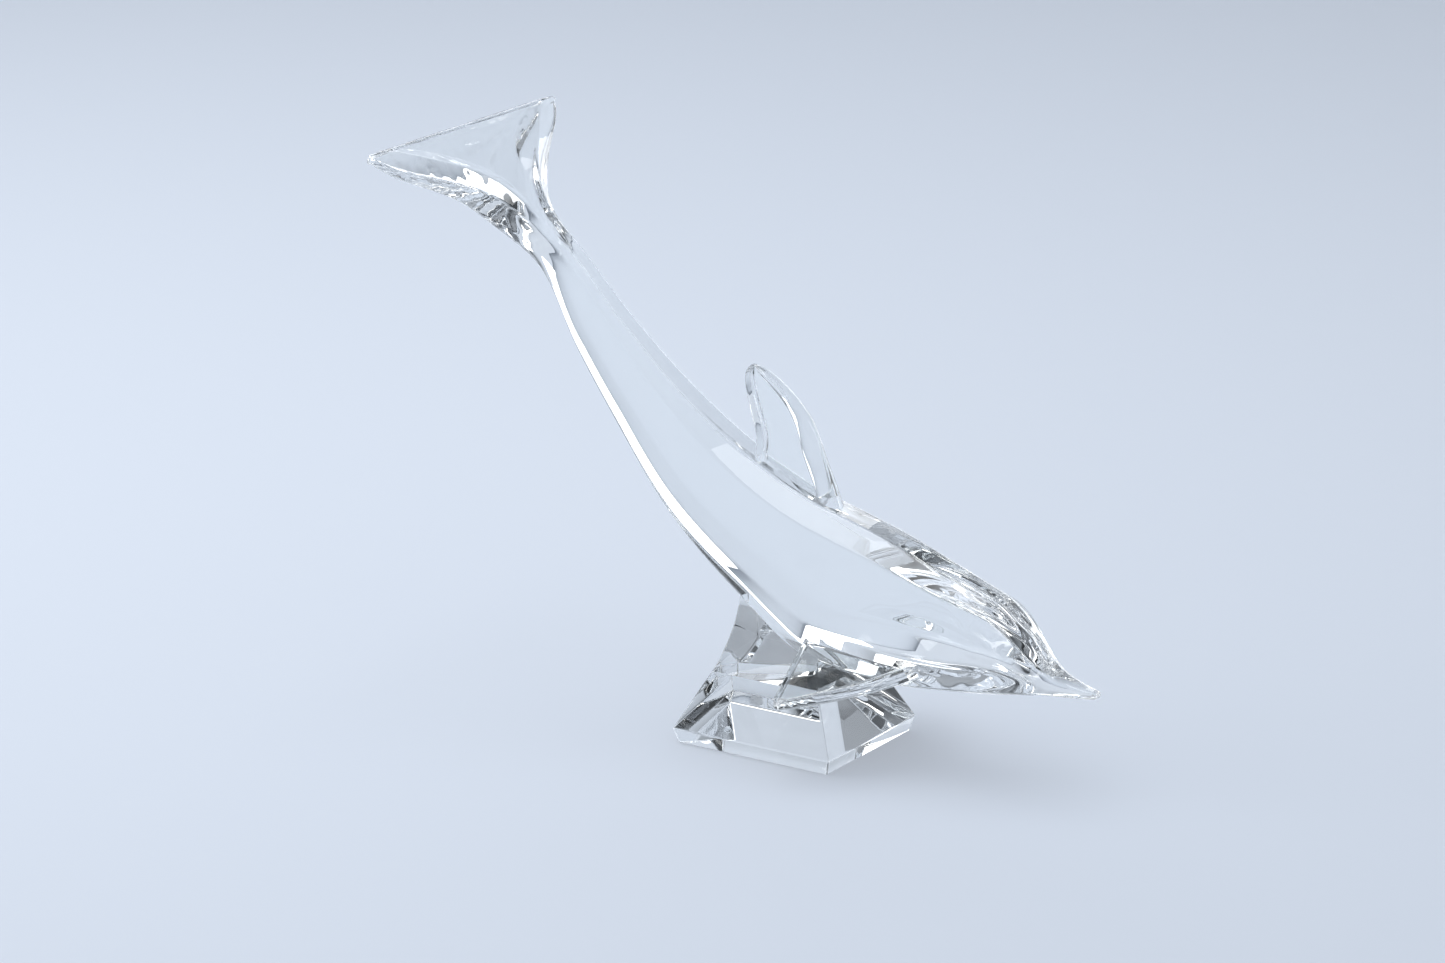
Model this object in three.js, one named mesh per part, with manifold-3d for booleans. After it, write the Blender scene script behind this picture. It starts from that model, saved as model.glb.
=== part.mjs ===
// A crystal glass dolphin diving in one long curve, carried on a flared glass column and a low cut foot.
// Millimetres, +Z up. The origin is the middle of the foot's underside, and the beak points along +X.
import * as THREE from "three";
import { mergeVertices } from "three/addons/utils/BufferGeometryUtils.js";
import Module from "manifold-3d";

const wasm = await Module();
wasm.setup();

// Driving dimensions
const BOND_GAP = 0.3; // clear bond line between neighbouring glass pieces
const GIRDLE_HALF_LENGTH = 30;
const GIRDLE_HALF_WIDTH = 27;
const GIRDLE_HEIGHT = 5.1; // widest line of the foot, above the table
const UNDERCUT = 1.45; // how far the rim leans in below the girdle
const SHOULDER_HEIGHT = 24; // where the sloping foot turns into the hollow flare of the column
const SHOULDER_SCALE = 0.68; // size of the foot at its shoulder, against its girdle
const COLUMN_REAR = { x: -16.2, z: 52 }; // top of the column's rear edges, inside the belly
const COLUMN_FRONT = { x: 14, z: 31.5 }; // top of its front edges
const COLUMN_TOP_HALF_WIDTH = 8;
const COLUMN_HOLLOW = 2; // 1 would close the column in straight lines; more hollows its flare
const COLUMN_STEPS = 10;
const STEPS_PER_SPAN = 3; // sections between two body stations
const CURVE_STEPS = 5; // segments along each curve of a fin's outline
const ROUNDING_STEPS = 2; // segments across a fin's rounded edge
const WELD_DISTANCE = 1e-4; // corners closer than this are one corner

// Where the corners of a body section lie between the belly and the back, as a share of its height
const HAUNCH_SHARE = 0.33;
const FLANK_FOOT_SHARE = 0.58;
const FLANK_TOP_SHARE = 0.9;
const HAUNCH_FULLNESS = 0.62; // how far out the haunch corner stands between the keel and the flank

const CRYSTAL = { color: 0xf2f7fa, roughness: 0.02, metalness: 0 };

// The body from the tail root to the tip of the beak: middle of the belly facet and of the back facet in
// the plane of symmetry, then the half widths of the flanks, of the back facet and of the belly facet.
const BODY_STATIONS = [
  { keel: [-100.5, 146.5], back: [-87, 154], flank: 5, crown: 3, sole: 2 },
  { keel: [-84, 119], back: [-65, 132], flank: 5.8, crown: 3.2, sole: 2.2 },
  { keel: [-68.5, 97.5], back: [-45, 114.5], flank: 8, crown: 4, sole: 3 },
  { keel: [-45, 69.5], back: [-17, 95.5], flank: 11, crown: 5, sole: 5.5 },
  { keel: [-17, 48.5], back: [8.5, 84], flank: 13.5, crown: 5.5, sole: 8.5 },
  { keel: [8, 31.5], back: [24, 79.5], flank: 14, crown: 5.5, sole: 8.5 },
  { keel: [26, 27], back: [38, 75.5], flank: 14, crown: 5.5, sole: 6 },
  { keel: [45, 27], back: [53, 70], flank: 13.3, crown: 5.5, sole: 5 },
  { keel: [63, 28.5], back: [68, 64.5], flank: 12, crown: 5, sole: 4.5 },
  { keel: [79, 30.5], back: [82, 58.5], flank: 10, crown: 4.5, sole: 4 },
  { keel: [88, 31.8], back: [90.7, 49], flank: 7.5, crown: 3.5, sole: 3.2 },
  { keel: [97, 33], back: [97.8, 41.5], flank: 5, crown: 2.6, sole: 2.6 },
  { keel: [106, 33.8], back: [106.2, 38.2], flank: 3.4, crown: 1.8, sole: 1.8 },
  { keel: [113.6, 34.6], back: [113.8, 36.9], flank: 1.6, crown: 0.8, sole: 0.8 },
];

// The tail from its trailing edge back to the tail root, in the same terms: one thick blade, two lobes wide
const TAIL_STATIONS = [
  { keel: [-133.1, 187.5], back: [-130.9, 189.5], flank: 52.5, crown: 51.5, sole: 51 },
  { keel: [-131.4, 182.1], back: [-127.1, 186.3], flank: 50, crown: 48, sole: 42 },
  { keel: [-128, 175.7], back: [-122.1, 181.4], flank: 43.5, crown: 41, sole: 34 },
  { keel: [-124.2, 169.6], back: [-117, 176.5], flank: 31.7, crown: 29, sole: 22 },
  { keel: [-120.2, 163.7], back: [-111.7, 171.9], flank: 21, crown: 18.5, sole: 12 },
  { keel: [-115.6, 158.5], back: [-106.2, 167.6], flank: 14.5, crown: 12, sole: 6.5 },
  { keel: [-109, 153.3], back: [-99.5, 162.3], flank: 10.5, crown: 8, sole: 4 },
  { keel: [-104.2, 149.4], back: [-92.8, 157.8], flank: 7.2, crown: 5, sole: 2.8 },
  { keel: [-100.7, 146.8], back: [-87.2, 154.3], flank: 5, crown: 3, sole: 2 },
];

// Side view of the back fin, from the foot of its leading edge over the tip to its trailing edge
const DORSAL_LEADING_EDGE = [[18, 82], [11, 97], [6.5, 108], [-0.5, 115.5], [-9.5, 122]];
const DORSAL_TIP = [[-14, 124.2], [-17.4, 123.8], [-18.8, 120.5]];
const DORSAL_TRAILING_EDGE = [[-17, 111], [-14.2, 102], [-14.5, 93]];
const DORSAL_THICKNESS = 7;
const DORSAL_BEVEL = 1.6;
const DORSAL_ROOT_DEPTH = 7; // how far the uncut fin reaches down into the back

// Outline of a flank fin in its own plane: along the root from its rear end, and out along the span
const PECTORAL_ROOT_LENGTH = 43;
const PECTORAL_SPAN = 36.5;
const PECTORAL_TIP_ALONG = 12;
const PECTORAL_TIP_RADIUS = 2.4;
const PECTORAL_TIP_TURN = 0.6; // radians, where the round of the tip meets the leading edge
const PECTORAL_BULGE = 1.6; // how far the leading edge bows out of its chord
const PECTORAL_ROOT_REAR = [9.6, -9, 37]; // rear end of the right fin's root
const PECTORAL_DIP = 4.1; // degrees the root runs down towards the beak
const PECTORAL_DROOP = 14.6; // degrees the blade falls away from the body
const PECTORAL_THICKNESS = 3.4;
const PECTORAL_BEVEL = 0.7;
const PECTORAL_ROOT_DEPTH = 12; // how far the uncut blade reaches into the body

// A THREE geometry as a manifold solid
function solidOf(geometry) {
  const bare = geometry.clone();
  bare.deleteAttribute("normal");
  bare.deleteAttribute("uv");
  const merged = mergeVertices(bare, WELD_DISTANCE);
  return new wasm.Manifold(
    new wasm.Mesh({
      numProp: 3,
      vertProperties: new Float32Array(merged.attributes.position.array),
      triVerts: new Uint32Array(merged.index.array),
    }),
  );
}

// A manifold solid as a THREE geometry
function geometryOf(solid) {
  const mesh = solid.getMesh();
  const geometry = new THREE.BufferGeometry();
  geometry.setAttribute("position", new THREE.BufferAttribute(mesh.vertProperties, 3));
  geometry.setIndex(new THREE.BufferAttribute(mesh.triVerts, 1));
  geometry.computeVertexNormals();
  return geometry;
}

// Skins a run of sections, each a ring of the same number of corners: a prism is extruded with one step per
// section, and every corner of it is moved to its place.
function loft(sections) {
  const corners = sections[0].length;
  const turn = (2 * Math.PI) / corners;
  const outline = new THREE.Shape();
  for (let i = 0; i < corners; i++) {
    const place = [Math.cos(i * turn), Math.sin(i * turn)];
    if (i === 0) outline.moveTo(...place);
    else outline.lineTo(...place);
  }
  const steps = sections.length - 1;
  const geometry = new THREE.ExtrudeGeometry(outline, { depth: steps, steps, bevelEnabled: false });
  const position = geometry.getAttribute("position");
  for (let i = 0; i < position.count; i++) {
    const angle = Math.atan2(position.getY(i), position.getX(i));
    const corner = (Math.round(angle / turn) + corners) % corners;
    const section = sections[Math.round(position.getZ(i))];
    position.setXYZ(i, ...section[corner]);
  }
  return geometry;
}

// The ten corners of one faceted section, round from the right side of the belly facet
function facetedSection(keel, back, widths, grown) {
  const axis = new THREE.Vector3().subVectors(back, keel);
  const height = axis.length();
  axis.normalize();
  const haunch = widths.sole + HAUNCH_FULLNESS * (widths.flank - widths.sole);
  const half = [
    [widths.sole, -grown],
    [haunch + grown, HAUNCH_SHARE * height],
    [widths.flank + grown, FLANK_FOOT_SHARE * height],
    [widths.flank + grown, FLANK_TOP_SHARE * height],
    [widths.crown, height + grown],
  ];
  const place = (side) => ([out, up]) => [keel.x + axis.x * up, side * out, keel.z + axis.z * up];
  return [...half.map(place(1)), ...half.toReversed().map(place(-1))];
}

// Smooth sections through a list of stations, grown outwards by a clearance where one is wanted
function sectionsThrough(stations, grown = 0) {
  const through = (point) => new THREE.CatmullRomCurve3(stations.map(point), false, "catmullrom", 0.5);
  const keelLine = through(({ keel }) => new THREE.Vector3(keel[0], 0, keel[1]));
  const backLine = through(({ back }) => new THREE.Vector3(back[0], 0, back[1]));
  const halfWidths = through(({ flank, crown, sole }) => new THREE.Vector3(flank, crown, sole));
  const count = (stations.length - 1) * STEPS_PER_SPAN;
  const sections = [];
  for (let i = 0; i <= count; i++) {
    const widths = halfWidths.getPoint(i / count);
    const named = { flank: widths.x, crown: widths.y, sole: widths.z };
    const keel = keelLine.getPoint(i / count);
    const back = backLine.getPoint(i / count);
    sections.push(facetedSection(keel, back, named, grown));
  }
  return sections;
}

// A rectangular section of the foot or column at one height
function footSection(scale, height, grown = 0) {
  const x = GIRDLE_HALF_LENGTH * scale + grown;
  const y = GIRDLE_HALF_WIDTH * scale + grown;
  return [[x, y, height], [-x, y, height], [-x, -y, height], [x, -y, height]];
}

// Low foot: an undercut rim below the girdle and four straight slopes above it
function plinth() {
  return loft([
    footSection(1, 0, -UNDERCUT),
    footSection(1, GIRDLE_HEIGHT),
    footSection(SHOULDER_SCALE, SHOULDER_HEIGHT),
  ]);
}

// Column that closes in a hollow flare from the foot's shoulder to a saddle along the belly, before the belly
// trims it
function column(grown = 0) {
  const rear = -GIRDLE_HALF_LENGTH * SHOULDER_SCALE;
  const side = GIRDLE_HALF_WIDTH * SHOULDER_SCALE;
  const foot = SHOULDER_HEIGHT + BOND_GAP;
  const sections = [];
  for (let i = 0; i <= COLUMN_STEPS; i++) {
    const rise = i / COLUMN_STEPS;
    const closing = 1 - (1 - rise) ** COLUMN_HOLLOW;
    const mix = THREE.MathUtils.lerp;
    const back = mix(rear, COLUMN_REAR.x, closing) - grown;
    const front = mix(-rear, COLUMN_FRONT.x, closing) + grown;
    const out = mix(side, COLUMN_TOP_HALF_WIDTH, closing) + grown;
    const backHeight = mix(foot, COLUMN_REAR.z, rise);
    const frontHeight = mix(foot, COLUMN_FRONT.z, rise);
    sections.push([
      [front, out, frontHeight],
      [back, out, backHeight],
      [back, -out, backHeight],
      [front, -out, frontHeight],
    ]);
  }
  return solidOf(loft(sections));
}

// Swept-back fin, a rounded slab whose foot is trimmed by the back
function dorsalFin(bodyClearance) {
  const outline = new THREE.Shape();
  const [start, ...rise] = DORSAL_LEADING_EDGE.map(([x, z]) => new THREE.Vector2(x, z));
  outline.moveTo(start.x, start.y - DORSAL_ROOT_DEPTH);
  outline.lineTo(start.x, start.y);
  outline.splineThru(rise);
  outline.splineThru(DORSAL_TIP.map(([x, z]) => new THREE.Vector2(x, z)));
  outline.splineThru(DORSAL_TRAILING_EDGE.map(([x, z]) => new THREE.Vector2(x, z)));
  outline.lineTo(DORSAL_TRAILING_EDGE.at(-1)[0], start.y - DORSAL_ROOT_DEPTH);
  const geometry = new THREE.ExtrudeGeometry(outline, {
    depth: DORSAL_THICKNESS - 2 * DORSAL_BEVEL,
    curveSegments: CURVE_STEPS,
    bevelThickness: DORSAL_BEVEL,
    bevelSize: DORSAL_BEVEL,
    bevelOffset: -DORSAL_BEVEL,
    bevelSegments: ROUNDING_STEPS,
  });
  geometry.translate(0, 0, DORSAL_BEVEL - DORSAL_THICKNESS / 2);
  geometry.rotateX(Math.PI / 2);
  return solidOf(geometry).subtract(bodyClearance);
}

// Flat triangular fin of one flank, drooping outwards, its root trimmed by the body and the column
function pectoralFin(rootClearance, side) {
  const outline = new THREE.Shape();
  outline.moveTo(0, -PECTORAL_ROOT_DEPTH);
  outline.lineTo(PECTORAL_ROOT_LENGTH, -PECTORAL_ROOT_DEPTH);
  outline.lineTo(PECTORAL_ROOT_LENGTH, 0);
  const centre = new THREE.Vector2(PECTORAL_TIP_ALONG, PECTORAL_SPAN - PECTORAL_TIP_RADIUS);
  const tip = new THREE.Vector2(centre.x + PECTORAL_TIP_RADIUS, centre.y);
  const bow = new THREE.Vector2(PECTORAL_ROOT_LENGTH, 0).lerp(tip, 0.5).addScalar(2 * PECTORAL_BULGE);
  outline.quadraticCurveTo(bow.x, bow.y, tip.x, tip.y);
  outline.absarc(centre.x, centre.y, PECTORAL_TIP_RADIUS, PECTORAL_TIP_TURN, Math.PI);
  outline.lineTo(0, 0);
  const geometry = new THREE.ExtrudeGeometry(outline, {
    depth: PECTORAL_THICKNESS - 2 * PECTORAL_BEVEL,
    curveSegments: CURVE_STEPS,
    bevelThickness: PECTORAL_BEVEL,
    bevelSize: PECTORAL_BEVEL,
    bevelOffset: -PECTORAL_BEVEL,
    bevelSegments: ROUNDING_STEPS,
  });
  geometry.translate(0, 0, PECTORAL_BEVEL - PECTORAL_THICKNESS / 2);
  geometry.rotateX(-THREE.MathUtils.degToRad(PECTORAL_DROOP));
  geometry.rotateY(THREE.MathUtils.degToRad(PECTORAL_DIP));
  const [x, y, z] = PECTORAL_ROOT_REAR;
  geometry.translate(x, -y, z);
  const left = solidOf(geometry);
  const blade = side > 0 ? left : left.mirror([0, 1, 0]);
  return blade.subtract(rootClearance);
}

const figurine = new THREE.Group();
function add(name, geometry) {
  const piece = new THREE.Mesh(geometry, new THREE.MeshStandardMaterial(CRYSTAL));
  piece.name = name;
  figurine.add(piece);
}

const bodyClearance = solidOf(loft(sectionsThrough(BODY_STATIONS, BOND_GAP)));
const rootClearance = bodyClearance.add(column(BOND_GAP));
add("body", loft(sectionsThrough(BODY_STATIONS)));
add("tail_flukes", loft(sectionsThrough(TAIL_STATIONS)));
add("dorsal_fin", geometryOf(dorsalFin(bodyClearance)));
add("right_pectoral_fin", geometryOf(pectoralFin(rootClearance, -1)));
add("left_pectoral_fin", geometryOf(pectoralFin(rootClearance, 1)));
add("pedestal", geometryOf(column().subtract(bodyClearance)));
add("plinth", plinth());

export default figurine;
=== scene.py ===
"""A clear crystal dolphin that dives in one long curve, on a flared glass column and a low cut foot.

Each piece of glass is built in millimetres in the figurine's own frame and placed in metres. The beak points
along +X, +Z is up, and the origin is the middle of the foot's underside. Where two pieces meet, both carry
the same clear bond face.
"""

import logging
import math
from collections.abc import Sequence
from dataclasses import dataclass, field
from enum import Enum, IntEnum

import bmesh
import bpy
from mathutils import Matrix, Vector


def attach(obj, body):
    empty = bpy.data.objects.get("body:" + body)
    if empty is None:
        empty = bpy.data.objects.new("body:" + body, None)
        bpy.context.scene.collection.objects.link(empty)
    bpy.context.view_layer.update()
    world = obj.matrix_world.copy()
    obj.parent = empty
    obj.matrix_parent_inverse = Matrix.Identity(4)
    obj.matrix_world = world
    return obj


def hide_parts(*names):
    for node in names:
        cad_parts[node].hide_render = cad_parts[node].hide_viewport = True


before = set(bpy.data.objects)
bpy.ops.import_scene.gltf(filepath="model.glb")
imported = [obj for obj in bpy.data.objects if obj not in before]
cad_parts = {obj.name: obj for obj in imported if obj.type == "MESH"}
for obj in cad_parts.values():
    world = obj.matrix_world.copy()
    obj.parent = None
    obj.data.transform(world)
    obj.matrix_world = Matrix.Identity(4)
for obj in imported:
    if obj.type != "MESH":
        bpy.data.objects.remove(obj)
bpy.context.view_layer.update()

log = logging.getLogger("figurine")

MM = 0.001
ROOT = "root"
Row = tuple[float, ...]
Ring = list[Vector]
Colour = tuple[float, float, float]

MOST_ROUND = 0.42  # how much of a side a corner's round may take
HOLDS = (0.05, 0.18, 0.34, 0.5, 0.66, 0.82, 0.95)  # where points lie along a flat side
END_TURN = math.radians(86)  # how far a rounded end turns inwards
END_GAP = 0.2  # clearance between a run's last kept ring and its rounded end
SHARP_TURN = math.radians(38)  # an edge that turns more than this stays sharp


class Face(IntEnum):
    """Material slot of a face: the polished outside, or the joint with the next piece."""

    SKIN = 0
    BOND = 1


class Corner(Enum):
    """Corners of one half of a body section, from the belly up to the panel along the middle of the back."""

    SOLE = 0
    HAUNCH = 1
    FLANK_FOOT = 2
    FLANK_TOP = 3
    CROWN = 4
    PANEL = 5


# ---------------------------------------------------------------- curves and rings


@dataclass(frozen=True)
class SmoothRun:
    """A smooth run through rows of numbers, which it meets one after another."""

    rows: Sequence[Row]

    def knots(self) -> list[float]:
        """How far along the run each row lies.

        Returns:
            For each row, the distance from the first, measured between their first two points.
        """
        found = [0.0]
        for here, there in zip(self.rows, self.rows[1:]):
            found.append(found[-1] + math.dist(here[:4], there[:4]))
        return found

    def slopes(self, knots: list[float]) -> list[Row]:
        """The run's slope at each row.

        Args:
            knots: How far along the run each row lies.

        Returns:
            One row of slopes for each row.
        """
        steps = [
            tuple((b - a) / (there - here) for a, b in zip(first, second))
            for first, second, here, there in zip(self.rows, self.rows[1:], knots, knots[1:])
        ]
        inner = []
        for i in range(1, len(self.rows) - 1):
            before, after = knots[i] - knots[i - 1], knots[i + 1] - knots[i]
            inner.append(
                tuple((a * after + b * before) / (before + after) for a, b in zip(steps[i - 1], steps[i]))
            )
        return [steps[0], *inner, steps[-1]]

    def sampled(self, step: float, evening: int = 0) -> tuple[list[Row], list[int]]:
        """Rows close together along the run, evened out so that a highlight runs over them without a kink.

        Args:
            step: The distance between two rows, more or less.
            evening: How many times each inner row is averaged with its neighbours.

        Returns:
            The close rows, and where among them each given row is.
        """
        knots = self.knots()
        slopes = self.slopes(knots)
        rows: list[Row] = [self.rows[0]]
        places = [0]
        for i in range(len(self.rows) - 1):
            length = knots[i + 1] - knots[i]
            count = max(2, round(length / step))
            for k in range(1, count + 1):
                t = k / count
                ends = zip(self.rows[i], self.rows[i + 1], slopes[i], slopes[i + 1])
                rows.append(
                    tuple(
                        (2 * t**3 - 3 * t**2 + 1) * a
                        + (t**3 - 2 * t**2 + t) * length * sa
                        + (3 * t**2 - 2 * t**3) * b
                        + (t**3 - t**2) * length * sb
                        for a, b, sa, sb in ends
                    )
                )
            places.append(len(rows) - 1)
        for _ in range(evening):
            inner = [
                tuple((a + 2 * b + c) / 4 for a, b, c in zip(rows[k - 1], rows[k], rows[k + 1]))
                for k in range(1, len(rows) - 1)
            ]
            rows = [rows[0], *inner, rows[-1]]
        return rows, places


def closed_up(rows: Sequence[Row], place: int, shares: Sequence[float]) -> tuple[list[Row], int]:
    """Adds rows close to one row of a run, so that both sides of a joint there shade alike.

    Args:
        rows: The run's close rows.
        place: Which of them the joint lies at.
        shares: Where the added rows lie on the way from the joint to the next row.

    Returns:
        The longer run, and where the joint is in it.
    """

    def between(first: int, share: float) -> Row:
        """A row on the smooth curve between two rows.

        Args:
            first: The earlier of the two rows.
            share: How far on towards the later one.

        Returns:
            The new row.
        """
        around = (rows[first + shift] for shift in (-1, 0, 1, 2))
        return tuple(
            b + share / 2 * (c - a + share * (2 * a - 5 * b + 4 * c - d + share * (3 * (b - c) + d - a)))
            for a, b, c, d in zip(*around)
        )

    before = [between(place - 1, 1 - share) for share in reversed(shares)]
    after = [between(place, share) for share in shares]
    longer = [*rows[:place], *before, rows[place], *after, *rows[place + 1 :]]
    return longer, place + len(before)


def rounded_ring(corners: Ring, reaches: Sequence[float], steps: int) -> Ring:
    """A closed polygon with its corners rounded.

    Args:
        corners: The sharp corners in order.
        reaches: How far along its two sides each corner's round reaches.
        steps: Segments in each round.

    Returns:
        The points of all rounds, with points between two of them so that flat sides stay flat.
    """
    starts, ends = [], []
    for i, corner in enumerate(corners):
        before = corners[i - 1] - corner
        after = corners[(i + 1) % len(corners)] - corner
        starts.append(corner + before.normalized() * min(reaches[i], MOST_ROUND * before.length))
        ends.append(corner + after.normalized() * min(reaches[i], MOST_ROUND * after.length))
    ring = []
    for i, corner in enumerate(corners):
        for step in range(steps + 1):
            t = step / steps
            ring.append(starts[i].lerp(corner, t).lerp(corner.lerp(ends[i], t), t))
        ring += [ends[i].lerp(starts[(i + 1) % len(corners)], hold) for hold in HOLDS]
    return ring


def middle(ring: Ring) -> Vector:
    """The middle of a ring's points."""
    return sum(ring, Vector()) / len(ring)


def rounded_end(ring: Ring, out: Vector, radius: float, steps: int) -> list[Ring]:
    """Rings that round off the end of a run.

    Args:
        ring: The run's outermost ring.
        out: The direction in which the run ends.
        radius: Radius of the rounding.
        steps: Segments of the rounding.

    Returns:
        Rings from one radius short of the end out to the end itself.
    """
    centre = middle(ring)
    up = Vector((0, 1, 0)).cross(out).normalized()
    half_width = max(abs((p - centre).y) for p in ring)
    half_height = max(abs((p - centre).dot(up)) for p in ring)
    rings = []
    for step in range(steps + 1):
        turn = END_TURN * step / steps
        lost = radius * (1 - math.cos(turn))
        ahead = radius * (math.sin(turn) - 1)
        rings.append(
            [
                centre
                + Vector((0, (p - centre).y * (1 - lost / half_width), 0))
                + up * ((p - centre).dot(up) * (1 - lost / half_height))
                + out * ((p - centre).dot(out) + ahead)
                for p in ring
            ]
        )
    return rings


def further_in(rings: Sequence[Ring], end: Vector, out: Vector, distance: float) -> list[Ring]:
    """The rings of a run that leave room for its rounded end.

    Args:
        rings: All rings of the run.
        end: The middle of the run's outermost ring.
        out: The direction in which the run ends.
        distance: How far in from the end a kept ring has to lie.

    Returns:
        The kept rings in their order.
    """
    return [ring for ring in rings if (end - middle(ring)).dot(out) > distance]


# ---------------------------------------------------------------- solids


def loft(rings: Sequence[Ring], first: Face = Face.SKIN, last: Face = Face.SKIN) -> bmesh.types.BMesh:
    """Skins a run of rings into one closed solid.

    Args:
        rings: The rings in millimetres, all with the same number of points.
        first: What the face that closes the first ring is.
        last: What the face that closes the last ring is.

    Returns:
        The solid in metres, its parts in the order of the rings.
    """
    bm = bmesh.new()
    bmesh.ops.create_circle(bm, cap_ends=False, radius=1.0, segments=len(rings[0]))
    bm.verts.ensure_lookup_table()
    corner = bm.verts.layers.int.new("corner")
    turn = bm.verts.layers.int.new("turn")
    walk = bm.verts[0]
    came = None
    for i in range(len(rings[0])):
        walk[corner] = i
        walk[turn] = i
        walk.co = rings[0][i] * MM
        nexts = [e.other_vert(walk) for e in walk.link_edges]
        came, walk = walk, nexts[0] if nexts[0] is not came else nexts[1]
    start = rim = list(bm.edges)
    for number, ring in enumerate(rings[1:], 1):
        made = bmesh.ops.extrude_edge_only(bm, edges=rim)["geom"]
        verts = {v for v in made if isinstance(v, bmesh.types.BMVert)}
        for vert in verts:
            vert[turn] = number * len(ring) + vert[corner]
            vert.co = ring[vert[corner]] * MM
        rim = [e for e in made if isinstance(e, bmesh.types.BMEdge) and set(e.verts) <= verts]
    for edges, kind in ((start, first), (rim, last)):
        for cap in bmesh.ops.contextual_create(bm, geom=edges)["faces"]:
            cap.material_index = kind
    bmesh.ops.recalc_face_normals(bm, faces=bm.faces)
    put_in_order(bm, turn)
    return bm


def put_in_order(bm: bmesh.types.BMesh, turn: bmesh.types.BMLayerItem) -> None:
    """Sorts a solid's parts, so that every run of the script makes the same mesh.

    Args:
        bm: The solid.
        turn: The layer that holds each point's number.
    """
    total = len(bm.verts)

    def rank(part: bmesh.types.BMEdge | bmesh.types.BMFace) -> int:
        """An edge's or a face's number, from its last and its first point."""
        turns = [vert[turn] for vert in part.verts]
        return max(turns) * total + min(turns)

    bm.verts.sort(key=lambda vert: vert[turn])
    bm.edges.sort(key=rank)
    bm.faces.sort(key=rank)


def as_object(name: str, bm: bmesh.types.BMesh) -> bpy.types.Object:
    """Puts a solid into the scene under a name.

    Args:
        name: The piece's plain name.
        bm: The solid, which is freed.

    Returns:
        The new object at the origin, with its two material slots.
    """
    mesh = bpy.data.meshes.new(name)
    bm.to_mesh(mesh)
    bm.free()
    piece = bpy.data.objects.new(name, mesh)
    bpy.context.scene.collection.objects.link(piece)
    for _ in Face:
        mesh.materials.append(None)
    return piece


def cutter_of(piece: bpy.types.Object) -> bpy.types.Object:
    """Copies a piece, to cut its seat in a neighbour.

    Args:
        piece: The uncut piece.

    Returns:
        The copy, whose every face is a bond face.
    """
    cutter = bpy.data.objects.new(piece.name + "_cutter", piece.data.copy())
    bpy.context.scene.collection.objects.link(cutter)
    for polygon in cutter.data.polygons:
        polygon.material_index = Face.BOND
    return cutter


def seat(piece: bpy.types.Object, cutters: Sequence[bpy.types.Object]) -> None:
    """Trims a piece where its neighbours are.

    Args:
        piece: The piece to trim.
        cutters: Solids that it makes way for.
    """
    for cutter in cutters:
        trim = piece.modifiers.new("seat", "BOOLEAN")
        trim.operation = "DIFFERENCE"
        trim.solver = "EXACT"
        trim.object = cutter
    depsgraph = bpy.context.evaluated_depsgraph_get()
    trimmed = bpy.data.meshes.new_from_object(piece.evaluated_get(depsgraph), depsgraph=depsgraph)
    piece.modifiers.clear()
    uncut = piece.data
    piece.data = trimmed
    bpy.data.meshes.remove(uncut)
    trimmed.name = piece.name


def polished(piece: bpy.types.Object) -> None:
    """Shades a finished piece smooth, apart from the sharp edges where it meets a joint.

    Args:
        piece: The finished piece.
    """
    mesh = piece.data
    mesh.shade_smooth()
    mesh.set_sharp_from_angle(angle=SHARP_TURN)
    weighted = piece.modifiers.new("facets", "WEIGHTED_NORMAL")
    weighted.mode = "FACE_AREA"
    weighted.weight = 50
    weighted.keep_sharp = True


# ---------------------------------------------------------------- the animal


@dataclass(frozen=True)
class SectionShape:
    """How every section of the animal is cut: the panel along its back and the rounding of its corners."""

    panel_fullness: float = 0.5
    reaches: dict[Corner, float] = field(
        default_factory=lambda: {
            Corner.SOLE: 1.4,
            Corner.HAUNCH: 1.6,
            Corner.FLANK_FOOT: 0.7,
            Corner.FLANK_TOP: 0.9,
            Corner.CROWN: 1.0,
            Corner.PANEL: 0.8,
        }
    )
    small_share: float = 0.16
    least_reach: float = 0.1
    round_steps: int = 6

    def ring(self, row: Row) -> Ring:
        """The rounded section at one row of a station run.

        Args:
            row: Keel x and z, back x and z, then for each corner its half width and its share of the height.

        Returns:
            The section's points, from the right side of the belly up and round over the back.
        """
        keel = Vector((row[0], 0, row[1]))
        back = Vector((row[2], 0, row[3]))
        up = (back - keel).normalized()
        height = (back - keel).length
        half = {corner: (row[4 + 2 * corner.value], row[5 + 2 * corner.value] * height) for corner in Corner}
        corners, reaches = [], []
        for side, order in ((-1, list(Corner)), (1, list(reversed(Corner)))):
            for corner in order:
                out, rise = half[corner]
                corners.append(keel + up * rise + Vector((0, side * out, 0)))
                reaches.append(min(self.reaches[corner], self.small_share * height + self.least_reach))
        return rounded_ring(corners, reaches, self.round_steps)


@dataclass(frozen=True)
class BodyStation:
    """One section of the body: the middle of its belly and of its back, half widths and shares of height."""

    keel: tuple[float, float]
    back: tuple[float, float]
    flank: float
    crown: float
    sole: float
    foot_share: float = 0.58
    top_share: float = 0.9
    haunch_fullness: float = 0.62
    haunch_share: float = 0.33

    def row(self, shape: SectionShape) -> Row:
        """The station as one row of numbers.

        Args:
            shape: The cut that all body sections share.

        Returns:
            Keel, back, and each corner's half width and share of the height.
        """
        haunch = self.sole + self.haunch_fullness * (self.flank - self.sole)
        low = (self.sole, 0.0, haunch, self.haunch_share, self.flank, self.foot_share)
        high = (self.flank, self.top_share, self.crown, 1.0, shape.panel_fullness * self.crown, 1.0)
        return (*self.keel, *self.back, *low, *high)


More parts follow.
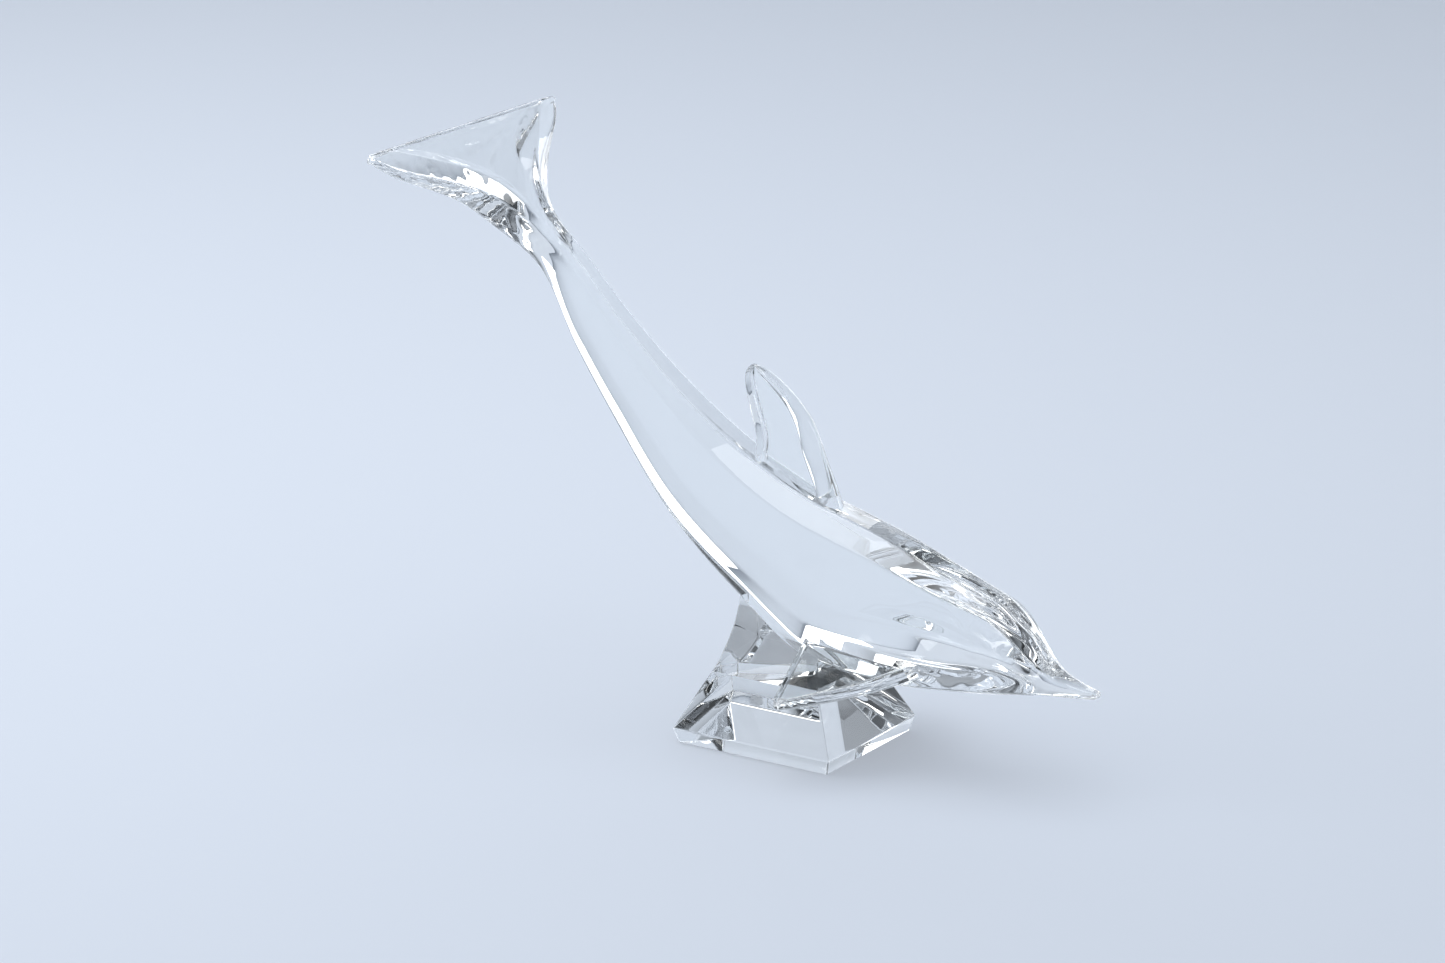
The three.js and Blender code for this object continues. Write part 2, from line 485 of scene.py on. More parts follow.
@dataclass(frozen=True)
class FlukeStation:
    """One section of the flukes: a low wall along the leading edge and a broad chamfer above it.

    The haunch, the wall's foot and top and the panel are each a half width and a share of the height.
    """

    keel: tuple[float, float]
    back: tuple[float, float]
    sole: float
    haunch: tuple[float, float]
    wall_foot: tuple[float, float]
    wall_top: tuple[float, float]
    ridge: float
    panel: tuple[float, float]

    def row(self, shape: SectionShape) -> Row:
        """The station as one row of numbers.

        Args:
            shape: Not needed here, since a fluke section has its own shares.

        Returns:
            Keel, back, and each corner's half width and share of the height.
        """
        return (
            *self.keel,
            *self.back,
            self.sole,
            0.0,
            *self.haunch,
            *self.wall_foot,
            *self.wall_top,
            self.ridge,
            1.0,
            *self.panel,
        )


@dataclass
class Animal:
    """The dolphin's body and tail, one long run of faceted sections from beak to trailing edge."""

    shape: SectionShape = field(default_factory=SectionShape)
    step: float = 1.1
    evening: int = 26
    joint_shares: Sequence[float] = (0.06, 0.18, 0.42)
    beak_round: float = 1.1
    tail_round: float = 1.7
    end_steps: int = 5
    body_stations: Sequence[BodyStation] = (
        BodyStation((-100.5, 146.5), (-87, 154), 5, 3, 2, 0.52, 0.85, 0.8, 0.22),
        BodyStation((-84, 119), (-65, 132), 5.8, 3.2, 2.2, 0.62, 0.85, 0.8, 0.22),
        BodyStation((-68.5, 97.5), (-45, 114.5), 8, 4, 3, 0.66, 0.85, 0.78, 0.22),
        BodyStation((-45, 69.5), (-17, 95.5), 11, 5, 5.5, 0.61, 0.86, 0.74, 0.22),
        BodyStation((-17, 48.5), (8.5, 84), 13.5, 5.5, 8.5, 0.59, 0.88, 0.7, 0.26),
        BodyStation((8, 31.5), (24, 79.5), 14, 5.5, 8.5, 0.6, 0.9, 0.8, 0.3),
        BodyStation((26, 27), (38, 75.5), 14, 5.5, 6, 0.64, 0.9, 1.12, 0.34),
        BodyStation((45, 27), (53, 70), 13.3, 5.5, 5, 0.67, 0.9, 1.22, 0.35),
        BodyStation((63, 28.5), (68, 64.5), 12, 5, 4.5, 0.67, 0.9, 1.14, 0.35),
        BodyStation((79, 30.5), (82, 58.5), 10, 4.5, 4, 0.64, 0.9, 0.95, 0.35),
        BodyStation((88, 31.8), (90.7, 49), 7.5, 3.5, 3.2),
        BodyStation((97, 33), (97.8, 41.5), 5, 2.6, 2.6),
        BodyStation((106, 33.8), (106.2, 38.2), 3.4, 1.8, 1.8),
        BodyStation((113.6, 34.6), (113.8, 36.9), 1.6, 0.8, 0.8),
    )
    fluke_stations: Sequence[FlukeStation] = (
        FlukeStation(
            (-132.9, 186.0), (-130.2, 189.4),
            50.5, (51.3, 0.12), (52.0, 0.3), (52.3, 0.75), 46.0, (42.0, 0.95),
        ),
        FlukeStation(
            (-130.7, 182.9), (-126.3, 187.1),
            45.0, (47.5, 0.06), (49.0, 0.14), (50.0, 0.7), 38.3, (28.0, 0.74),
        ),
        FlukeStation(
            (-126.8, 177.1), (-120.1, 183.6),
            35.0, (38.5, 0.06), (40.5, 0.15), (41.4, 0.69), 28.5, (17.0, 0.73),
        ),
        FlukeStation(
            (-123.0, 171.0), (-114.0, 179.9),
            21.0, (24.5, 0.07), (27.5, 0.17), (30.2, 0.74), 18.8, (9.5, 0.79),
        ),
        FlukeStation(
            (-119.3, 164.6), (-108.7, 175.3),
            12.0, (15.0, 0.09), (17.5, 0.2), (20.0, 0.82), 11.4, (5.5, 0.88),
        ),
        FlukeStation(
            (-115.4, 158.9), (-104.3, 169.8),
            7.5, (10.5, 0.12), (12.3, 0.27), (12.8, 0.87), 6.8, (3.6, 0.95),
        ),
        FlukeStation(
            (-109, 153.3), (-98.6, 163.4),
            4.2, (6.4, 0.19), (8.0, 0.42), (8.2, 0.86), 4.2, (2.6, 0.99),
        ),
    )

    def runs(self) -> tuple[list[Ring], list[Ring]]:
        """The rings of the tail and of the body, which share the ring at the joint.

        Returns:
            The tail's rings from its trailing edge to the joint, and the body's from the joint to the beak.
        """
        stations = [*self.fluke_stations, *self.body_stations]
        rows, places = SmoothRun([s.row(self.shape) for s in stations]).sampled(self.step, self.evening)
        rows, joint = closed_up(rows, places[len(self.fluke_stations)], self.joint_shares)
        rings = [self.shape.ring(row) for row in rows]
        tail, body = rings[: joint + 1], rings[joint:]
        back_out = (middle(tail[0]) - middle(tail[1])).normalized()
        beak_out = (middle(body[-1]) - middle(body[-2])).normalized()
        tail_end = rounded_end(tail[0], back_out, self.tail_round, self.end_steps)
        beak_end = rounded_end(body[-1], beak_out, self.beak_round, self.end_steps)
        tail_kept = further_in(tail, middle(tail[0]), back_out, self.tail_round + END_GAP)
        body_kept = further_in(body, middle(body[-1]), beak_out, self.beak_round + END_GAP)
        return [*reversed(tail_end), *tail_kept], [*body_kept, *beak_end]

    def build(self) -> tuple[bpy.types.Object, bpy.types.Object]:
        """The body and the tail as two solids with a shared joint face.

        Returns:
            The body and the tail.
        """
        tail, body = self.runs()
        return (
            as_object("glass_body", loft(body, first=Face.BOND)),
            as_object("glass_tail_flukes", loft(tail, last=Face.BOND)),
        )


@dataclass(frozen=True)
class BladeShape:
    """How a fin's section is cut: a thinner flat panel between a round rim behind and one in front."""

    panel_share: float = 0.66
    rim_steps: int = 10
    most_rims: float = 0.86
    holds: tuple[float, ...] = (0.0, 0.1, 0.5, 0.9, 1.0)

    def ring(self, chord: tuple[Vector, Vector], across: Vector, sizes: tuple[float, float, float]) -> Ring:
        """One closed section of a fin.

        Args:
            chord: The section's rear and front ends.
            across: The direction of the fin's thickness.
            sizes: Thickness, width of the front rim and width of the rear rim.

        Returns:
            The section's points, forward over one side and back over the other.
        """
        rear, front = chord
        thickness, front_rim, rear_rim = sizes
        along = (front - rear).normalized()
        length = (front - rear).length
        fit = min(1.0, self.most_rims * length / (front_rim + rear_rim))
        turns = [math.pi * i / self.rim_steps for i in range(self.rim_steps)]
        depths = [(1 - math.cos(turn)) / 2 for turn in turns]
        halves = [max(math.sin(turn), self.panel_share if turn > 1 else 0) * thickness / 2 for turn in turns]
        flat = self.panel_share * thickness / 2
        panel = (fit * rear_rim, length - fit * front_rim)
        side = [(depth * fit * rear_rim, half) for depth, half in zip(depths, halves)]
        side += [(panel[0] + (panel[1] - panel[0]) * hold, flat) for hold in self.holds]
        for depth, half in reversed(list(zip(depths, halves))):
            side.append((length - depth * fit * front_rim, half))
        over = [rear + along * at + across * half for at, half in side]
        under = [rear + along * at - across * half for at, half in reversed(side[1:-1])]
        return over + under


@dataclass
class BackFin:
    """The swept-back fin on the dolphin's back: a broad rounded front rim and a clear middle."""

    shape: BladeShape = field(default_factory=lambda: BladeShape(panel_share=0.4))
    step: float = 1.6
    evening: int = 4
    stations: Sequence[Row] = (
        # front x, z; rear x, z; thickness; front rim; rear rim
        (19.6, 74.0, -14.8, 86.0, 7.4, 10.5, 3.6),
        (17.6, 82.5, -14.5, 94.0, 7.2, 10.0, 3.6),
        (11.6, 96.0, -14.1, 101.5, 6.8, 8.6, 3.5),
        (6.8, 107.5, -16.5, 109.5, 6.3, 7.0, 3.4),
        (-0.5, 115.5, -18.2, 116.0, 5.8, 5.4, 3.2),
        (-8.0, 121.0, -18.8, 120.4, 5.2, 4.0, 2.8),
        (-12.4, 123.3, -18.3, 122.8, 4.0, 2.6, 2.0),
        (-15.0, 124.2, -16.8, 124.1, 1.6, 0.8, 0.8),
    )

    def build(self) -> bpy.types.Object:
        """The uncut fin, standing in the middle plane.

        Returns:
            The fin as an object.
        """
        across = Vector((0, 1, 0))
        rings = []
        for row in SmoothRun(self.stations).sampled(self.step, self.evening)[0]:
            chord = (Vector((row[2], 0, row[3])), Vector((row[0], 0, row[1])))
            rings.append(self.shape.ring(chord, across, row[4:]))
        return as_object("glass_dorsal_fin", loft(rings))


@dataclass
class FlankFin:
    """One of the two drooping flank fins: a flat triangular blade with a thick front rim."""

    name: str
    side: int
    shape: BladeShape = field(default_factory=BladeShape)
    step: float = 1.6
    evening: int = 4
    root_rear: tuple[float, float, float] = (9.6, 9, 37)
    dip: float = 4.1
    droop: float = 14.6
    stations: Sequence[Row] = (
        # front along, out; rear along, out; thickness; front rim; rear rim
        (46.0, -6.0, -1.2, -6.0, 5.6, 5.6, 2.2),
        (42.6, 1.0, 0.3, 1.0, 5.2, 5.4, 2.2),
        (36.0, 11.5, 3.4, 12.0, 4.8, 5.2, 2.1),
        (28.2, 21.0, 6.2, 22.0, 4.5, 5.0, 2.0),
        (20.6, 28.6, 8.7, 30.5, 4.2, 4.4, 1.9),
        (15.6, 33.2, 9.8, 34.4, 3.8, 2.8, 1.7),
        (13.2, 35.6, 10.7, 35.8, 2.3, 1.1, 1.0),
        (12.3, 36.4, 11.6, 36.5, 1.0, 0.3, 0.3),
    )

    def build(self) -> bpy.types.Object:
        """The uncut blade in its place at one flank.

        Returns:
            The blade as an object.
        """
        across = Vector((0, 0, 1))
        rings = []
        for row in SmoothRun(self.stations).sampled(self.step, self.evening)[0]:
            chord = (Vector((row[2], row[3], 0)), Vector((row[0], row[1], 0)))
            rings.append(self.shape.ring(chord, across, row[4:]))
        bm = loft(rings)
        dipped = Matrix.Rotation(math.radians(self.dip), 4, "Y")
        drooped = Matrix.Rotation(-math.radians(self.droop), 4, "X")
        place = Matrix.Translation(Vector(self.root_rear) * MM) @ (dipped @ drooped)
        bmesh.ops.transform(bm, matrix=Matrix.Scale(self.side, 4, (0, 1, 0)) @ place, verts=bm.verts)
        bmesh.ops.recalc_face_normals(bm, faces=bm.faces)
        return as_object(self.name, bm)


# ---------------------------------------------------------------- foot and column


@dataclass
class Stand:
    """The low cut foot and the column that closes in a hollow flare up to the belly."""

    girdle: tuple[float, float] = (30, 27)
    girdle_height: float = 5.1
    undercut: float = 1.45
    shoulder_height: float = 24
    shoulder_scale: float = 0.68
    rear_top: tuple[float, float] = (-16.2, 52)
    front_top: tuple[float, float] = (14, 31.5)
    top_half_width: float = 8
    edge_round: float = 0.7
    girdle_round: float = 0.45
    round_steps: int = 4
    sole_round: float = 0.25
    slope_steps: int = 6
    column_steps: int = 28

    def oblong(self, x: tuple[float, float], y: float, z: tuple[float, float]) -> Ring:
        """A rounded four-sided ring.

        Args:
            x: Rear and front ends.
            y: Half width.
            z: Heights of the rear and front ends.

        Returns:
            The ring's points.
        """
        corners = [
            Vector((x[1], y, z[1])),
            Vector((x[0], y, z[0])),
            Vector((x[0], -y, z[0])),
            Vector((x[1], -y, z[1])),
        ]
        return rounded_ring(corners, [self.edge_round] * 4, self.round_steps)

    def foot(self) -> bpy.types.Object:
        """The foot: an undercut rim below the girdle and four straight slopes up to the shoulder.

        Returns:
            The foot as an object.
        """
        reach = self.girdle_round
        lean = self.undercut / self.girdle_height
        slope_x = self.girdle[0] * (1 - self.shoulder_scale) / (self.shoulder_height - self.girdle_height)
        profile = [
            (0.0, -self.undercut - self.sole_round),
            (self.sole_round, -self.undercut + self.sole_round * lean),
        ]
        profile.append((self.girdle_height - reach, -reach * lean))
        low = (self.girdle_height - reach, -reach * lean)
        mid = (self.girdle_height, 0.0)
        high = (self.girdle_height + reach, -reach * slope_x)
        for step in range(1, self.round_steps):
            t = step / self.round_steps
            point = [(1 - t) ** 2 * a + 2 * t * (1 - t) * b + t**2 * c for a, b, c in zip(low, mid, high)]
            profile.append((point[0], point[1]))
        rings = []
        for z, out in profile:
            x, y = self.girdle[0] + out, self.girdle[1] + out
            rings.append(self.oblong((-x, x), y, (z, z)))
        start = self.girdle_height + reach
        for step in range(self.slope_steps + 1):
            share = step / self.slope_steps
            z = start + (self.shoulder_height - start) * share
            scale = 1 - (1 - self.shoulder_scale) * (z - self.girdle_height) / (
                self.shoulder_height - self.girdle_height
            )
            x, y = self.girdle[0] * scale, self.girdle[1] * scale
            rings.append(self.oblong((-x, x), y, (z, z)))
        return as_object("glass_foot", loft(rings, last=Face.BOND))

    def column(self) -> bpy.types.Object:
        """The uncut column, which runs up into the belly.

        Returns:
            The column as an object.
        """
        far_x = self.girdle[0] * self.shoulder_scale
        far_y = self.girdle[1] * self.shoulder_scale
        rings = []
        for step in range(self.column_steps + 1):
            rise = step / self.column_steps
            closing = 1 - (1 - rise) ** 2
            rear = -far_x + (self.rear_top[0] + far_x) * closing
            front = far_x + (self.front_top[0] - far_x) * closing
            half = far_y + (self.top_half_width - far_y) * closing
            rear_z = self.shoulder_height + (self.rear_top[1] - self.shoulder_height) * rise
            front_z = self.shoulder_height + (self.front_top[1] - self.shoulder_height) * rise
            rings.append(self.oblong((rear, front), half, (rear_z, front_z)))
        return as_object("glass_column", loft(rings, first=Face.BOND))


# ---------------------------------------------------------------- finishes


HAZE_SCALE = 34.0
HAZE_DETAIL = 2.0
HAZE_RANGE = (0.35, 0.75)
POLISH_INPUTS = (
    "Ripple Scale",
    "Calm Before",
    "Full After",
    "Least Share",
    "Least Roughness",
    "Most Roughness",
)
POLISH_OUTPUTS = ("Height", "Roughness")


def polish_group() -> bpy.types.NodeTree:
    """The slight unevenness of hand-polished glass, shared by every crystal surface.

    Its ripple grows along the figurine, from its least share on one side of Calm Before to all of it past
    Full After.

    Returns:
        A node group that puts out a height and a roughness.
    """
    group = bpy.data.node_groups.new("hand_polish", "ShaderNodeTree")
    for in_out, names in (("INPUT", POLISH_INPUTS), ("OUTPUT", POLISH_OUTPUTS)):
        for name in names:
            group.interface.new_socket(name, in_out=in_out, socket_type="NodeSocketFloat")
    nodes, links = group.nodes, group.links
    given = nodes.new("NodeGroupInput")
    out = nodes.new("NodeGroupOutput")
    place = nodes.new("ShaderNodeTexCoord")
    ripple = nodes.new("ShaderNodeTexNoise")
    ripple.inputs["Detail"].default_value = 1.0
    haze = nodes.new("ShaderNodeTexNoise")
    haze.inputs["Scale"].default_value = HAZE_SCALE
    haze.inputs["Detail"].default_value = HAZE_DETAIL
    spread = nodes.new("ShaderNodeMapRange")
    spread.inputs["From Min"].default_value = HAZE_RANGE[0]
    spread.inputs["From Max"].default_value = HAZE_RANGE[1]
    links.new(place.outputs["Object"], ripple.inputs["Vector"])
    links.new(place.outputs["Object"], haze.inputs["Vector"])
    links.new(given.outputs["Ripple Scale"], ripple.inputs["Scale"])
    links.new(haze.outputs["Fac"], spread.inputs["Value"])
    links.new(given.outputs["Least Roughness"], spread.inputs["To Min"])
    links.new(given.outputs["Most Roughness"], spread.inputs["To Max"])
    axes = nodes.new("ShaderNodeSeparateXYZ")
    share = nodes.new("ShaderNodeMapRange")
    share.interpolation_type = "SMOOTHSTEP"
    share.inputs["To Max"].default_value = 1.0
    raised = nodes.new("ShaderNodeMath")
    raised.operation = "MULTIPLY"
    links.new(place.outputs["Object"], axes.inputs["Vector"])
    links.new(axes.outputs["X"], share.inputs["Value"])
    links.new(given.outputs["Calm Before"], share.inputs["From Min"])
    links.new(given.outputs["Full After"], share.inputs["From Max"])
    links.new(given.outputs["Least Share"], share.inputs["To Min"])
    links.new(ripple.outputs["Fac"], raised.inputs[0])
    links.new(share.outputs["Result"], raised.inputs[1])
    links.new(raised.outputs["Value"], out.inputs["Height"])
    links.new(spread.outputs["Result"], out.inputs["Roughness"])
    return group


@dataclass(frozen=True)
class Crystal:
    """Clear lead crystal, polished by hand: its tint, its refraction and the ripple left in its surface."""

    name: str
    ripple_scale: float
    ripple_depth: float
    tint: Colour = (0.975, 0.99, 0.985)
    index: float = 1.545
    calm_before: float = -1.0
    full_after: float = -0.9
    least_share: float = 0.0
    least_roughness: float = 0.0
    most_roughness: float = 0.012
    shade: float = 0.995

    def material(self, polish: bpy.types.NodeTree) -> bpy.types.Material:
        """The finish as a material.

        Args:
            polish: The shared polish group.

        Returns:
            Glass that lets lamps through, a little dimmed, so that its shadow stays faint.
        """
        made = bpy.data.materials.new(self.name)
        made.use_nodes = True
        nodes, links = made.node_tree.nodes, made.node_tree.links
        nodes.clear()
        out = nodes.new("ShaderNodeOutputMaterial")
        glass = nodes.new("ShaderNodeBsdfPrincipled")
        glass.inputs["Base Color"].default_value = (*self.tint, 1)
        glass.inputs["Transmission Weight"].default_value = 1.0
        glass.inputs["IOR"].default_value = self.index
        uneven = nodes.new("ShaderNodeGroup")
        uneven.node_tree = polish
        settings = (
            self.ripple_scale,
            self.calm_before,
            self.full_after,
            self.least_share,
            self.least_roughness,
            self.most_roughness,
        )
        for name, setting in zip(POLISH_INPUTS, settings):
            uneven.inputs[name].default_value = setting
        bump = nodes.new("ShaderNodeBump")
        bump.inputs["Strength"].default_value = 1.0
        bump.inputs["Distance"].default_value = self.ripple_depth
        clear = nodes.new("ShaderNodeBsdfTransparent")
        clear.inputs["Color"].default_value = (self.shade, self.shade, self.shade, 1)
        path = nodes.new("ShaderNodeLightPath")
        mix = nodes.new("ShaderNodeMixShader")
        links.new(uneven.outputs["Height"], bump.inputs["Height"])
        links.new(uneven.outputs["Roughness"], glass.inputs["Roughness"])
        links.new(bump.outputs["Normal"], glass.inputs["Normal"])
        links.new(path.outputs["Is Shadow Ray"], mix.inputs["Fac"])
        links.new(glass.outputs["BSDF"], mix.inputs[1])
        links.new(clear.outputs["BSDF"], mix.inputs[2])
        links.new(mix.outputs["Shader"], out.inputs["Surface"])
        return made


@dataclass(frozen=True)
class ClearBond:
    """The optical bond between two pieces, which light crosses as if the glass were one."""

    name: str = "clear_bond"

    def material(self) -> bpy.types.Material:
        """The finish as a material.

        Returns:
            A material that shows nothing of itself.
        """
        made = bpy.data.materials.new(self.name)
        made.use_nodes = True
        nodes, links = made.node_tree.nodes, made.node_tree.links
        nodes.clear()
        out = nodes.new("ShaderNodeOutputMaterial")
        clear = nodes.new("ShaderNodeBsdfTransparent")
        links.new(clear.outputs["BSDF"], out.inputs["Surface"])
        return made


# ---------------------------------------------------------------- studio


@dataclass(frozen=True)
class Panel:
    """One soft lamp: where it hangs, its sides, its power, and what it may be seen through and light."""

    name: str
    place: tuple[float, float, float]
    sides: tuple[float, float]
    power: float
    seen_through_glass: bool = True
    lights_paper: bool = True


@dataclass(frozen=True)
class Paper:
    """Pale matt paper."""

    colour: Colour = (0.705, 0.765, 0.86)
    sheen: float = 0.1
    grain_scale: float = 900.0
    roughness: tuple[float, float] = (0.85, 0.95)

    def material(self, polish: bpy.types.NodeTree) -> bpy.types.Material:
        """The finish as a material.

        Args:
            polish: The shared polish group, which varies the paper's roughness.

        Returns:
            The paper.
        """
        made = bpy.data.materials.new("pale_paper")
        made.use_nodes = True
        nodes, links = made.node_tree.nodes, made.node_tree.links
        paper = nodes["Principled BSDF"]
        paper.inputs["Base Color"].default_value = (*self.colour, 1)
        paper.inputs["Specular IOR Level"].default_value = self.sheen
        grain = nodes.new("ShaderNodeGroup")
        grain.node_tree = polish
        grain.inputs["Ripple Scale"].default_value = self.grain_scale
        grain.inputs["Least Roughness"].default_value = self.roughness[0]
        grain.inputs["Most Roughness"].default_value = self.roughness[1]
        links.new(grain.outputs["Roughness"], paper.inputs["Roughness"])
        return made


@dataclass(frozen=True)
class Room:
    """The room's light by height: pale low down, a dark band part of the way up and pale again overhead."""

    towards_camera: float = 0.16
    upwards: float = 0.78
    shades: Sequence[tuple[float, Colour]] = (
        (0.0, (0.70, 0.76, 0.86)),
        (0.55, (0.66, 0.72, 0.82)),
        (0.63, (0.30, 0.33, 0.37)),
        (0.67, (0.03, 0.033, 0.036)),
        (0.76, (0.02, 0.022, 0.024)),
        (0.82, (0.26, 0.28, 0.31)),
        (1.0, (0.60, 0.65, 0.72)),
    )


@dataclass
class Studio:
    """A pale sweep of paper, soft lamps and the camera."""

    paper: Paper = field(default_factory=Paper)
    room: Room = field(default_factory=Room)
    floor_side: float = 9.0
    floor_gap: float = 0.0001
    azimuth: float = 33.3
    elevation: float = 17.1
    distance: float = 1.765
    target: tuple[float, float, float] = (-0.0282, 0.0, 0.0825)
    lens: float = 135.0
    sensor_width: float = 36.0
    clip: tuple[float, float] = (0.01, 50.0)
    aim: tuple[float, float, float] = (0.0, 0.0, 0.08)
    glass_bounces: int = 28
    mirror_bounces: int = 16
    clear_bounces: int = 48
    panels: Sequence[Panel] = (
        Panel("lamp_above", (-0.55, -0.05, 1.55), (1.6, 1.6), 21.0, seen_through_glass=False),
        Panel("lamp_left", (-1.6, -0.9, 0.8), (0.8, 1.1), 8.0),
        Panel("lamp_right", (1.5, 0.6, 0.7), (0.3, 1.0), 3.0),
        Panel("lamp_behind", (-1.5, 2.1, 1.6), (1.6, 0.5), 6.0),
        Panel("lamp_low", (-0.1, 2.0, 0.27), (1.6, 0.5), 5.0, lights_paper=False),
    )

    def lay_floor(self, polish: bpy.types.NodeTree) -> None:
        """Lays the paper that everything stands on.

        Args:
            polish: The shared polish group.
        """
        bm = bmesh.new()
        bmesh.ops.create_grid(bm, x_segments=1, y_segments=1, size=self.floor_side / 2)
        mesh = bpy.data.meshes.new("paper_sweep")
        bm.to_mesh(mesh)
        bm.free()
        mesh.transform(Matrix.Translation((0, 0, -self.floor_gap)))
        floor = bpy.data.objects.new("paper_sweep", mesh)
        bpy.context.scene.collection.objects.link(floor)
        mesh.materials.append(self.paper.material(polish))

    def hang_lamps(self) -> None:
        """Hangs the soft lamps, each turned to the figurine."""
        for panel in self.panels:
            light = bpy.data.lights.new(panel.name, "AREA")
            light.shape = "RECTANGLE"
            light.size, light.size_y = panel.sides
            light.energy = panel.power
            lamp = bpy.data.objects.new(panel.name, light)
            lamp.location = panel.place
            lamp.rotation_euler = (Vector(self.aim) - Vector(panel.place)).to_track_quat("-Z", "Y").to_euler()
            lamp.visible_transmission = panel.seen_through_glass
            lamp.visible_diffuse = panel.lights_paper
            bpy.context.scene.collection.objects.link(lamp)

    def light_room(self) -> None:
        """Lights the room around the studio."""
        world = bpy.data.worlds.new("studio_room")
        bpy.context.scene.world = world
        world.use_nodes = True
        nodes, links = world.node_tree.nodes, world.node_tree.links
        nodes.clear()
        out = nodes.new("ShaderNodeOutputWorld")
        background = nodes.new("ShaderNodeBackground")
        place = nodes.new("ShaderNodeTexCoord")
        turn = math.radians(self.azimuth)
        towards = nodes.new("ShaderNodeVectorMath")
        towards.operation = "DOT_PRODUCT"
        towards.inputs[1].default_value = (
            self.room.towards_camera * math.sin(turn),
            -self.room.towards_camera * math.cos(turn),
            self.room.upwards,
        )
        ramp = nodes.new("ShaderNodeValToRGB")
        for at, _ in self.room.shades[1:-1]:
            ramp.color_ramp.elements.new(at)
        for element, (at, shade) in zip(ramp.color_ramp.elements, self.room.shades):
            element.position = at
            element.color = (*shade, 1)
        spread = nodes.new("ShaderNodeMapRange")
        spread.inputs["From Min"].default_value = -1.0
        spread.inputs["From Max"].default_value = 1.0
        links.new(place.outputs["Generated"], towards.inputs[0])
        links.new(towards.outputs["Value"], spread.inputs["Value"])
        links.new(spread.outputs["Result"], ramp.inputs["Fac"])
        links.new(ramp.outputs["Color"], background.inputs["Color"])
        links.new(background.outputs["Background"], out.inputs["Surface"])

    def place_camera(self) -> None:
        """Puts the camera at its viewing angle."""
        turn, rise = math.radians(self.azimuth), math.radians(self.elevation)
        back = Vector((math.sin(turn) * math.cos(rise), -math.cos(turn) * math.cos(rise), math.sin(rise)))
        lens = bpy.data.cameras.new("camera")
        lens.lens = self.lens
        lens.sensor_width = self.sensor_width
        lens.clip_start, lens.clip_end = self.clip
        camera = bpy.data.objects.new("camera", lens)
        camera.location = Vector(self.target) + back * self.distance
        camera.rotation_euler = (-back).to_track_quat("-Z", "Y").to_euler()
        bpy.context.scene.collection.objects.link(camera)
        bpy.context.scene.camera = camera

    def set_paths(self) -> None:
        """Lets light cross as many glass faces as the figurine has, and shows colours as they are."""
        scene = bpy.context.scene
        scene.view_settings.view_transform = "Standard"
        cycles = scene.cycles
        cycles.max_bounces = self.glass_bounces
        cycles.transmission_bounces = self.glass_bounces
        cycles.glossy_bounces = self.mirror_bounces
        cycles.transparent_max_bounces = self.clear_bounces
        cycles.caustics_reflective = False
        cycles.caustics_refractive = False

    def build(self, polish: bpy.types.NodeTree) -> None:
        """Builds the whole studio.

        Args:
            polish: The shared polish group.
        """
        self.lay_floor(polish)
        self.hang_lamps()
        self.light_room()
        self.place_camera()
        self.set_paths()


# ---------------------------------------------------------------- the figurine


ANIMAL_CRYSTAL = Crystal(
    "animal_crystal",
    ripple_scale=70.0,
    ripple_depth=0.00042,
    calm_before=0.03,
    full_after=0.075,
    least_share=0.05,
)
FLUKE_CRYSTAL = Crystal(
    "fluke_crystal",
    ripple_scale=110.0,
    ripple_depth=0.0003,
    calm_before=-0.1,
    full_after=-0.118,
    least_share=0.05,
)
BACK_FIN_CRYSTAL = Crystal("back_fin_crystal", ripple_scale=110.0, ripple_depth=0.00045)
FLANK_FIN_CRYSTAL = Crystal("flank_fin_crystal", ripple_scale=40.0, ripple_depth=0.00018)
STAND_CRYSTAL = Crystal("stand_crystal", ripple_scale=45.0, ripple_depth=0.00006)


def open_edges(piece: bpy.types.Object) -> int:
    """Looks for holes and stray faces in a piece.

    Args:
        piece: The piece to look at.

    Returns:
        How many of its edges don't join exactly two faces.
    """
    bm = bmesh.new()
    bm.from_mesh(piece.data)
    count = sum(not edge.is_manifold for edge in bm.edges)
    bm.free()
    return count


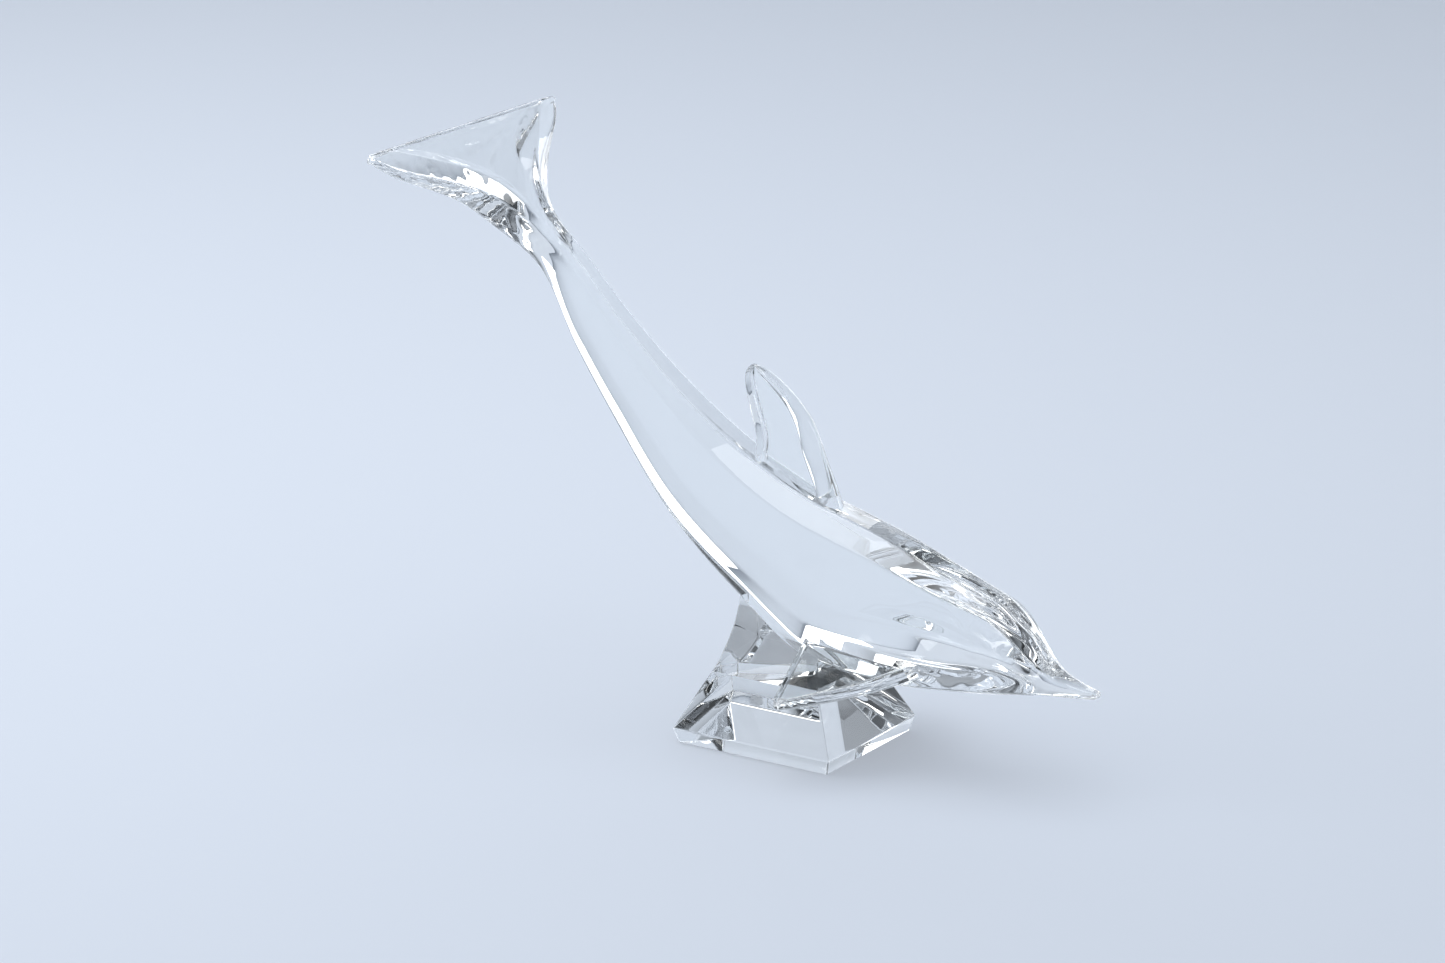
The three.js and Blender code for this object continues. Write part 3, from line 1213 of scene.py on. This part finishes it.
@dataclass
class Figurine:
    """The whole figurine: its seven pieces of glass, trimmed to each other."""

    animal: Animal = field(default_factory=Animal)
    back_fin: BackFin = field(default_factory=BackFin)
    right_fin: FlankFin = field(default_factory=lambda: FlankFin("glass_right_pectoral_fin", -1))
    left_fin: FlankFin = field(default_factory=lambda: FlankFin("glass_left_pectoral_fin", 1))
    stand: Stand = field(default_factory=Stand)

    def build(self) -> tuple[tuple[bpy.types.Object, str, Crystal], ...]:
        """Builds every piece and seats it in its neighbours.

        Returns:
            Each piece with the node it replaces and its finish.
        """
        body, tail = self.animal.build()
        fin = self.back_fin.build()
        right = self.right_fin.build()
        left = self.left_fin.build()
        foot = self.stand.foot()
        column = self.stand.column()
        cutters = [cutter_of(piece) for piece in (body, column, fin, right, left)]
        body_cutter, column_cutter, fin_cutter, right_cutter, left_cutter = cutters
        seat(body, [column_cutter, fin_cutter, right_cutter, left_cutter])
        seat(fin, [body_cutter])
        seat(right, [body_cutter, column_cutter])
        seat(left, [body_cutter, column_cutter])
        seat(column, [body_cutter, right_cutter, left_cutter])
        for cutter in cutters:
            mesh = cutter.data
            bpy.data.objects.remove(cutter)
            bpy.data.meshes.remove(mesh)
        return (
            (body, "body", ANIMAL_CRYSTAL),
            (tail, "tail_flukes", FLUKE_CRYSTAL),
            (fin, "dorsal_fin", BACK_FIN_CRYSTAL),
            (right, "right_pectoral_fin", FLANK_FIN_CRYSTAL),
            (left, "left_pectoral_fin", FLANK_FIN_CRYSTAL),
            (column, "pedestal", STAND_CRYSTAL),
            (foot, "plinth", STAND_CRYSTAL),
        )


def main() -> None:
    """Builds the figurine piece by piece and the studio around it."""
    logging.basicConfig(level=logging.INFO, format="%(message)s")
    polish = polish_group()
    pieces = Figurine().build()
    bond = ClearBond().material()
    finishes = {}
    for piece, node, crystal in pieces:
        if crystal.name not in finishes:
            finishes[crystal.name] = crystal.material(polish)
        piece.data.materials[Face.SKIN] = finishes[crystal.name]
        piece.data.materials[Face.BOND] = bond
        polished(piece)
        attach(piece, ROOT)
        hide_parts(node)
        log.info("%s: %d faces, %d open edges", piece.name, len(piece.data.polygons), open_edges(piece))
    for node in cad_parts.values():
        node.data.materials.clear()
        node.data.materials.append(finishes[ANIMAL_CRYSTAL.name])
    Studio().build(polish)


if __name__ == "__main__":
    main()
